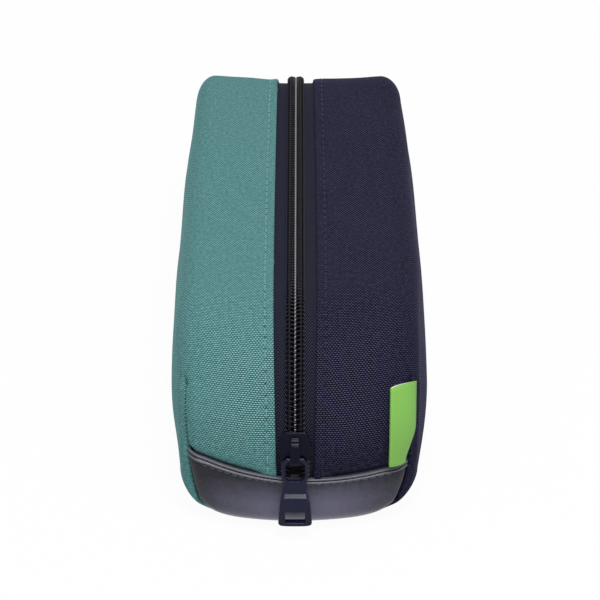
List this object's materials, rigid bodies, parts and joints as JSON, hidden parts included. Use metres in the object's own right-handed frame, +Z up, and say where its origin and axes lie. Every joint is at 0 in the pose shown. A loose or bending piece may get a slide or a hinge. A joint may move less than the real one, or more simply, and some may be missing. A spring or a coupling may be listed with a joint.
{
  "type": "zipped pouch",
  "caption": "Soft box-shaped zipped pouch in two-tone woven cloth with a turned-up faux leather base, a coil zip over its length and a hanging slider pull.",
  "frame": {"origin": "on the ground under the middle of the base", "axes": "+Z up, -Y towards the front end where the slider is parked, +X towards the navy half"},
  "size_m": [0.0806, 0.2059, 0.0611],
  "materials": {
    "teal_cloth": "plain-weave polyester, matt",
    "navy_cloth": "plain-weave polyester, matt",
    "faux_leather": "fine-grained coated sheet, satin",
    "lining_cloth": "thin woven lining, matt",
    "zip_tape": "herringbone woven tape, matt",
    "zip_coil": "nylon monofilament, glossy",
    "slider_enamel": "die-cast zinc, gloss enamel",
    "label_ribbon": "woven ribbon, bare"
  },
  "bodies": {
    "pouch": {"left_body_panel": "teal_cloth", "right_body_panel": "navy_cloth", "base_panel": "faux_leather", "left_lining": "lining_cloth", "right_lining": "lining_cloth", "base_lining": "lining_cloth", "left_seam_binding": "zip_tape", "right_seam_binding": "zip_tape", "left_zip_tape": "zip_tape", "right_zip_tape": "zip_tape", "left_zip_coil": "zip_coil", "right_zip_coil": "zip_coil", "side_label": "label_ribbon"},
    "slider": {"zip_slider": "slider_enamel", "slider_bridge": "slider_enamel"},
    "pull": {"pull_tab": "slider_enamel"}
  },
  "joints": [
    {"name": "zip_run", "type": "hinge", "parent": "pouch", "child": "slider", "pos_m": [0, -0.055, 0.015], "axis": [-1, 0, 0], "range_deg": [0, 70.9], "deforming": ["left_zip_coil", "right_zip_coil"]},
    {"name": "pull_swing", "type": "hinge", "parent": "slider", "child": "pull", "pos_m": [0, -0.10198, 0.02813], "axis": [-1, 0, 0], "range_deg": [0, 170]}
  ]
}
